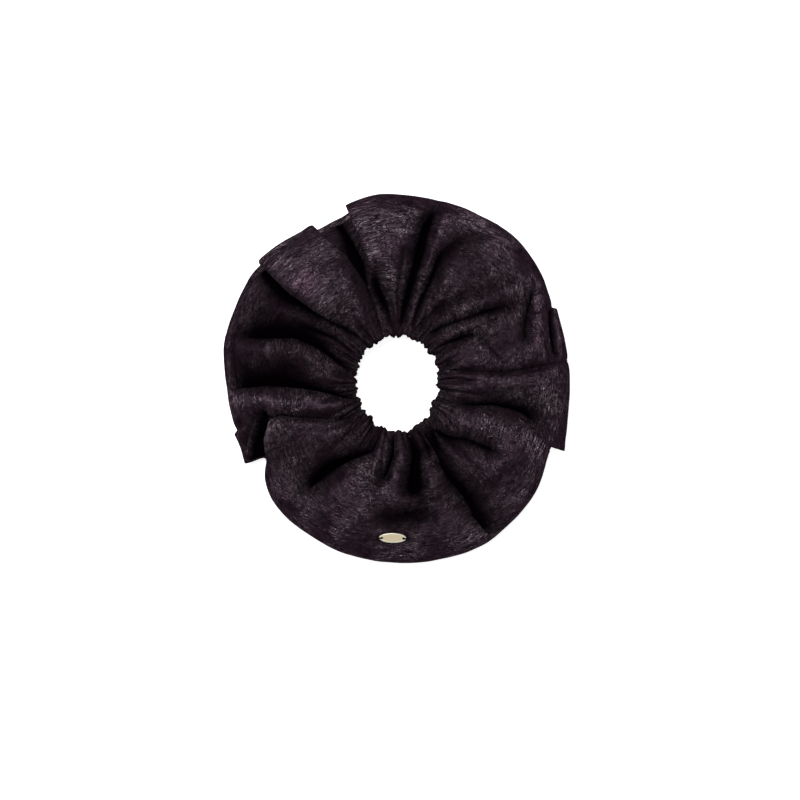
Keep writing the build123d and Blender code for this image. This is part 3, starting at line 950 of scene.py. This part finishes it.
cover_mesh.materials.append(satin())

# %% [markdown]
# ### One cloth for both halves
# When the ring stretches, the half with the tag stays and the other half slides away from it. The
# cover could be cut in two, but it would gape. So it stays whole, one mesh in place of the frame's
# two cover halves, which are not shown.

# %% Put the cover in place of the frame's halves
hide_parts("cover_tag_half", "cover_pull_half")
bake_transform(cover)

# %% [markdown]
# ## Thread
# Both seams of the cover and the lap of the elastic are sewn with the same dark polyester thread.
# A row of stitches is one short arc repeated along a path, so Geometry Nodes lays it: the path is
# resampled at the stitch length, an arc of thread is set on each point, and each arc is turned along
# the path with its back away from the cloth. Modelling one long wavy cord instead would show thread
# where a real lock stitch dives through the cloth.

# %% Thread finish
def thread_finish():
    """Matt dark thread with the twist of its yarn."""
    finish = Finish("dark_thread")
    place = finish.node("ShaderNodeTexCoord", out=3)
    diagonal = {"bands_direction": "DIAGONAL"}
    twist = finish.node("ShaderNodeTexWave", diagonal, place, Scale=900.0, Distortion=1.0)
    bump = finish.node("ShaderNodeBump", {}, Strength=0.4, Distance=0.00006, Height=twist)
    finish.set(Base_Color=(0.005, 0.0025, 0.0045), Roughness=0.85 - twist * 0.1, Normal=bump)
    finish.set(Specular_IOR_Level=0.1)
    print(finish.material.name, len(finish.tree.nodes), "nodes")
    return finish.material


thread_material = thread_finish()

# %% [markdown]
# ### Geometry Nodes from Python
# Stitches and the elastic are both made by a tree of nodes that follows a path. The trees could be
# clicked together in Blender's editor, but then the script couldn't rebuild them. So one class
# makes a tree with its sizes as named inputs. Two functions then lay a path and run the tree on it.

# %% A class for Geometry Nodes
class Maker:
    """A Geometry Nodes tree with a path, some sizes and a material as its named inputs."""

    def __init__(self, name, *sizes):
        self.tree = bpy.data.node_groups.new(name, "GeometryNodeTree")
        socket = self.tree.interface.new_socket
        socket("Path", in_out="INPUT", socket_type="NodeSocketGeometry")
        for size in sizes:
            socket(size, in_out="INPUT", socket_type="NodeSocketFloat")
        socket("Material", in_out="INPUT", socket_type="NodeSocketMaterial")
        socket("Made", in_out="OUTPUT", socket_type="NodeSocketGeometry")
        self.given = self.tree.nodes.new("NodeGroupInput").outputs

    def node(self, kind, settings=None, *values, out=0, **named):
        """Adds a node: its settings first, then its inputs by place or by name."""
        made = self.tree.nodes.new(kind)
        for setting, value in (settings or {}).items():
            setattr(made, setting, value)
        for key, value in [*enumerate(values), *named.items()]:
            socket = made.inputs[key.replace("_", " ") if isinstance(key, str) else key]
            if isinstance(value, bpy.types.NodeSocket):
                self.tree.links.new(value, socket)
            else:
                socket.default_value = value
        return made.outputs[out]

    def math(self, operation, *values):
        return self.node("ShaderNodeMath", {"operation": operation}, *values)

    def end(self, shape):
        """Makes instances real, sets the material and closes the tree."""
        real = self.node("GeometryNodeRealizeInstances", Geometry=shape)
        shown = self.node("GeometryNodeSetMaterial", Geometry=real, Material=self.given["Material"])
        self.tree.links.new(shown, self.tree.nodes.new("NodeGroupOutput").inputs[0])
        print(self.tree.name, len(self.tree.nodes), "nodes")
        return self.tree


trial_tree = Maker("trial", "Length").tree
print("inputs of a tree:", [item.name for item in trial_tree.interface.items_tree if item.in_out == "INPUT"])
bpy.data.node_groups.remove(trial_tree)

# %% A path, and a tree run along it
def row_path(rows):
    """A mesh of bare edges through each row of (points, away, closed), in metres."""
    points, away, edges = [], [], []
    for places, normals, closed in rows:
        first, count = len(points), len(places)
        points += (np.asarray(places) * MM).tolist()
        away += np.asarray(normals).tolist()
        edges += [(first + k, first + (k + 1) % count) for k in range(count if closed else count - 1)]
    mesh = bpy.data.meshes.new("path")
    mesh.from_pydata(points, edges, [])
    flat = np.array(away, np.float32).reshape(-1)
    mesh.attributes.new("away", "FLOAT_VECTOR", "POINT").data.foreach_set("vector", flat)
    return mesh


def make_along(name, tree, rows, material, **sizes):
    """Runs a tree on a path and keeps the result as a plain mesh, in an object of its own."""
    maker = bpy.data.objects.new("maker", row_path(rows))
    bpy.context.scene.collection.objects.link(maker)
    modifier = maker.modifiers.new("nodes", "NODES")
    modifier.node_group = tree
    for item in tree.interface.items_tree:
        if item.in_out == "INPUT" and item.name in sizes:
            modifier[item.identifier] = sizes[item.name]
        if item.name == "Material":
            modifier[item.identifier] = material
    graph = bpy.context.evaluated_depsgraph_get()
    mesh = bpy.data.meshes.new_from_object(maker.evaluated_get(graph))
    bpy.data.objects.remove(maker)
    mesh.name = name
    mesh.shade_smooth()
    made = bpy.data.objects.new(name, mesh)
    bpy.context.scene.collection.objects.link(made)
    print(name, len(mesh.polygons), "faces")
    return made


print("a path of three points has", len(row_path([(np.eye(3), np.eye(3), False)]).edges), "edges")

# %% A row of stitches, as a node group
def stitch_group():
    """An arc of thread on each point of the resampled path, its back turned to the cloth."""
    maker = Maker("stitch_row", "Pitch", "Stitch", "Gauge", "Lift")
    node, math_, given = maker.node, maker.math, maker.given
    foot = math_("MULTIPLY", given["Gauge"], -0.6)
    start = node("ShaderNodeCombineXYZ", X=math_("MULTIPLY", given["Stitch"], -0.5), Z=foot)
    end = node("ShaderNodeCombineXYZ", X=math_("MULTIPLY", given["Stitch"], 0.5), Z=foot)
    crown = node("ShaderNodeCombineXYZ", Z=given["Lift"])
    arc = node("GeometryNodeCurveQuadraticBezier", Resolution=8, Start=start, Middle=crown, End=end)
    ring = node("GeometryNodeCurvePrimitiveCircle", Resolution=8, Radius=given["Gauge"])
    stitch = node("GeometryNodeCurveToMesh", Curve=arc, Profile_Curve=ring, Fill_Caps=True)
    path = node("GeometryNodeMeshToCurve", Mesh=given["Path"])
    points = node("GeometryNodeResampleCurve", {"mode": "LENGTH"}, Curve=path, Length=given["Pitch"])
    away = node("GeometryNodeInputNamedAttribute", {"data_type": "FLOAT_VECTOR"}, Name="away")
    upright = node("FunctionNodeAlignRotationToVector", {"axis": "Z"}, Vector=away)
    tangent = node("GeometryNodeInputTangent")
    along_path = {"axis": "X", "pivot_axis": "Z"}
    turned = node("FunctionNodeAlignRotationToVector", along_path, Rotation=upright, Vector=tangent)
    return maker.end(node("GeometryNodeInstanceOnPoints", Points=points, Instance=stitch, Rotation=turned))


STITCH_ROW = stitch_group()


def sew(name, rows, pitch, stitch, gauge, lift):
    """An object of stitches along the rows, with its sizes in millimetres."""
    sizes = {"Pitch": pitch * MM, "Stitch": stitch * MM, "Gauge": gauge * MM, "Lift": lift * MM}
    return make_along(name, STITCH_ROW, rows, thread_material, **sizes)


# %% [markdown]
# ## Long seam
# The strip's two long edges meet underneath and their allowances stand up inside the tube. One ring
# of lock stitches, 2.5 mm each, holds them, and shows on either side. Nobody sees it, and it could be
# left out, but the tube is held by nothing else.

# %% Long seam stitches
turn = np.radians(np.arange(360))
away = np.stack([np.cos(turn), np.sin(turn), 0 * turn], 1)
seam_gap, seam_height = 0.45, 2.0
level = np.array([0, 0, seam_height])
seam_rows = [
    (away * (SEAM + seam_gap) + level, away, True),
    (away * (SEAM - seam_gap) + level, -away, True),
]
long_seam = sew("long_seam_stitches", seam_rows, pitch=2.5, stitch=2.1, gauge=0.17, lift=0.3)
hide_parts("long_seam_thread_tag_half", "long_seam_thread_pull_half")
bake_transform(long_seam)

# %% [markdown]
# ## Closing seam
# The tube's two ends meet on the right in one line that crosses the ring. Its stitches lie at the
# bottom of the crease that the seam pulls into the cloth, and go all the way round the tube. A row
# worked out from the smooth section would hang in the air or sink in at every fold, so the row is
# read off the folded cloth itself.

# %% Closing seam stitches
SEAM_COLUMN = 10  # a column of the grid close to the seam
SEAM_ENDS = 5  # rows without stitches at either raw edge
ON_CLOTH = 0.05
cloth_normal = np.cross(np.roll(cloth, -1, 0) - np.roll(cloth, 1, 0), np.gradient(cloth, axis=1))
cloth_normal /= np.linalg.norm(cloth_normal, axis=-1, keepdims=True)


def on_cloth(angles, grid):
    """A grid's values down one line across the strip, at an angle for each row."""
    column = np.asarray(angles) % 360 * COLUMNS / 360
    low = np.floor(column).astype(int)
    share = (column - low)[:, None]
    rows_ = np.arange(grid.shape[1])
    return grid[low % COLUMNS, rows_] * (1 - share) + grid[(low + 1) % COLUMNS, rows_] * share


crease = np.array(FOLDS["seam_line"][3])
closing_angle = np.interp(radius[SEAM_COLUMN], crease[:, 1], crease[:, 0])
closing_place, closing_away = on_cloth(closing_angle, cloth), on_cloth(closing_angle, cloth_normal)
section_out = np.stack([section_normal[:, 0], 0 * section_normal[:, 0], section_normal[:, 1]], 1)
closing_away *= np.sign(np.sum(closing_away * section_out, 1))[:, None]
closing = slice(SEAM_ENDS, len(section) - SEAM_ENDS)
stitched, stitched_away = closing_place[closing], closing_away[closing]
closing_rows = [(stitched + ON_CLOTH * stitched_away, stitched_away, False)]
closing_seam = sew("closing_seam_stitches", closing_rows, pitch=3.0, stitch=2.3, gauge=0.15, lift=0.28)
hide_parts("closing_seam_thread")
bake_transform(closing_seam)

# %% [markdown]
# ## Elastic
# A flat ribbed elastic, 6 mm by 1 mm, stands on edge in the casing and laps over itself where it is
# sewn. It follows the hole's shape just behind the gathers. A band is one outline swept along a
# path, so Geometry Nodes make it: a rectangle is cut into short steps, a wave presses ribs into its
# two long sides, and the ribbed outline is swept along the path with the band's height kept upright.
# Ribs laid on as separate cords would tear away from the band when it stretches.

# %% Elastic finish
def webbing():
    """Matt dark knitted elastic."""
    finish = Finish("ribbed_elastic")
    place = finish.node("ShaderNodeTexCoord", out=3)
    yarn = finish.node("ShaderNodeTexNoise", {}, Vector=place, Scale=2600.0, Detail=2.0)
    bump = finish.node("ShaderNodeBump", {}, Strength=0.5, Distance=0.0001, Height=yarn)
    finish.set(Base_Color=(0.018, 0.014, 0.017), Roughness=0.85 - yarn * 0.15, Normal=bump)
    finish.set(Specular_IOR_Level=0.2, Sheen_Weight=0.2)
    print(finish.material.name, len(finish.tree.nodes), "nodes")
    return finish.material


# %% A ribbed band, as a node group
OUTLINE_STEPS = 108


def band_group():
    """A rectangle with ribs pressed into its long sides, swept along the path."""
    maker = Maker("ribbed_band", "Tall", "Thin", "Ribs", "Groove")
    node, math_, given = maker.node, maker.math, maker.given
    outline = node("GeometryNodeCurvePrimitiveQuadrilateral", Width=given["Thin"], Height=given["Tall"])
    steps = node("GeometryNodeResampleCurve", {"mode": "COUNT"}, Curve=outline, Count=OUTLINE_STEPS)
    place = node("GeometryNodeInputPosition")
    across = node("ShaderNodeSeparateXYZ", {}, place, out=0)
    up = node("ShaderNodeSeparateXYZ", {}, place, out=1)
    turns = math_("MULTIPLY", math_("DIVIDE", up, given["Tall"]), math_("MULTIPLY", given["Ribs"], math.pi))
    crest = math_("ABSOLUTE", math_("COSINE", turns))
    kept = math_("SUBTRACT", 1.0, math_("MULTIPLY", given["Groove"], math_("SUBTRACT", 1.0, crest)))
    pressed = node("ShaderNodeCombineXYZ", X=math_("MULTIPLY", across, kept), Y=up)
    ribbed = node("GeometryNodeSetPosition", Geometry=steps, Position=pressed)
    path = node("GeometryNodeMeshToCurve", Mesh=given["Path"])
    level = node("GeometryNodeSetCurveNormal", {"mode": "Z_UP"}, Curve=path)
    return maker.end(node("GeometryNodeCurveToMesh", Curve=level, Profile_Curve=ribbed, Fill_Caps=True))


BAND = band_group()

# %% Elastic band
ELASTIC_TALL, ELASTIC_THIN = elastic_high[2] - elastic_low[2], 1.0
BAND_CLEARANCE, LAP_CLEARANCE = 0.2, 0.1  # to the cloth before it, and between the lap's layers
CLIMB_FROM, CLIMB_OVER = 330, 25  # where the band starts to climb over its own start, in degrees
casing_rows = np.abs(section[:, 1] - MIDDLE) < CASING / 2 + 0.5
casing_rows &= section[:, 0] < HOLE + 2
wall = np.linalg.norm(cloth[:, casing_rows, :2], axis=-1).max(1) - hole_at(angle[:, 0])
BEHIND = float(wall.max()) + ELASTIC_THIN / 2 + BAND_CLEARANCE
LAP_FROM, LAP_LENGTH, LAP_RADIUS = 9.0, 12.0, 22.0
DEGREES = 57.3  # in one radian
LAP_ANGLE = LAP_LENGTH / LAP_RADIUS * DEGREES


def elastic_line(along):
    """Radius of the elastic's centreline at an angle along it, counted from the lap's start."""
    climb = ease(np.clip((along - CLIMB_FROM) / CLIMB_OVER, 0, 1))
    return hole_at(LAP_FROM + along) + BEHIND + climb * (ELASTIC_THIN + LAP_CLEARANCE)


along = np.linspace(0, 360 + LAP_ANGLE, 460)
turn, line = np.radians(LAP_FROM + along), elastic_line(along)
band_line = np.stack([line * np.cos(turn), line * np.sin(turn), MIDDLE + 0 * line], 1)
band_sizes = {"Tall": ELASTIC_TALL * MM, "Thin": ELASTIC_THIN * MM, "Ribs": 9.0, "Groove": 0.28}
elastic = make_along("elastic", BAND, [(band_line, band_line, False)], webbing(), **band_sizes)
elastic_length = np.linalg.norm(np.diff(band_line, axis=0), axis=1).sum()
print(f"elastic {elastic_length:.0f} mm long, {BEHIND:.1f} mm behind the hole's edge")
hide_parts("elastic_tag_half", "elastic_pull_half")
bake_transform(elastic)

# %% [markdown]
# ## Lap of the elastic
# Where the band laps over itself two upright rows of stitches, one near each end of the lap, go
# through both layers. They show on the band's inner and outer face. A zigzag would do too, but two
# short rows are enough to hold so narrow a band.

# %% Lap stitches
LAP_STITCH_MARGIN = 0.8  # from the band's edges
LAP_POINTS = 12
lap_rows = []
for share in (0.25, 0.75):
    lap_angle = LAP_ANGLE * share
    turn = np.radians(LAP_FROM + lap_angle)
    way = np.array([math.cos(turn), math.sin(turn), 0])
    foot = MIDDLE - ELASTIC_TALL / 2 + LAP_STITCH_MARGIN
    head = MIDDLE + ELASTIC_TALL / 2 - LAP_STITCH_MARGIN
    up = np.linspace(foot, head, LAP_POINTS)[:, None] * np.array([[0, 0, 1.0]])
    inner = elastic_line(np.array(lap_angle)) - ELASTIC_THIN / 2
    outer = elastic_line(np.array(lap_angle + 360)) + ELASTIC_THIN / 2
    lap_rows.append((way * inner + up, np.tile(-way, (LAP_POINTS, 1)), False))
    lap_rows.append((way * outer + up, np.tile(way, (LAP_POINTS, 1)), False))
lap_stitches = sew("elastic_lap_stitches", lap_rows, pitch=1.1, stitch=0.9, gauge=0.16, lift=0.3)
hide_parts("elastic_lap_thread")
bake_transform(lap_stitches)

# %% [markdown]
# ## Tag
# The one hard part is an oval tag of pale champagne metal with a bright rim, tied on by a thread
# through an eye at either end. Its CAD shape is right, so it stays and only gets its finish. The
# satin-brushed face is bare. A picture of real metal could have been laid on it, but it would hold
# the reflections of some other room, so the brushing is a noise drawn out along the tag, and the rim
# is found from how far a point lies from the tag's middle.

# %% Tag and its ties
TAG_FACE = (0.86, 0.74, 0.50)
TAG_RIM = (1.0, 0.95, 0.74)
RIM_START = 0.70  # share of the way from the tag's middle to its edge


def tag_finish():
    """Pale brushed metal whose rim is a little brighter and smoother than its face."""
    finish = Finish("champagne_metal")
    place = finish.node("ShaderNodeTexCoord", out=3)
    to_tag = finish.node("ShaderNodeVectorMath", {"operation": "SUBTRACT"}, place, tuple(TAG_SPOT * MM))
    reach = (1 / (TAG_HALF[0] * MM), 1 / (TAG_HALF[1] * MM), 0)
    unit = finish.node("ShaderNodeVectorMath", {"operation": "MULTIPLY"}, to_tag, reach)
    out = finish.node("ShaderNodeVectorMath", {"operation": "LENGTH"}, unit, out=1)
    rim = ((out - RIM_START) * 12).held()
    brush_at = finish.node("ShaderNodeVectorMath", {"operation": "MULTIPLY"}, place, (1.0, 14.0, 14.0))
    brush = finish.node("ShaderNodeTexNoise", {}, Vector=brush_at, Scale=900.0, Detail=2.0)
    colour = finish.blend(rim, TAG_FACE, TAG_RIM)
    bump = finish.node("ShaderNodeBump", {}, Strength=0.25, Distance=0.00005, Height=brush)
    finish.set(Base_Color=colour, Roughness=0.42 + brush * 0.1 - rim * 0.15, Normal=bump)
    finish.set(Metallic=0.3)
    print(finish.material.name, len(finish.tree.nodes), "nodes")
    return finish.material


def refinish(node_name, material):
    """Gives a carried-over CAD node its own finish."""
    node = frame["nodes"][node_name]
    for slot in node.material_slots:
        slot.material = material
    print(node_name, "is now", material.name)


refinish("metal_tag", tag_finish())
refinish("tag_thread_left", thread_material)
refinish("tag_thread_right", thread_material)
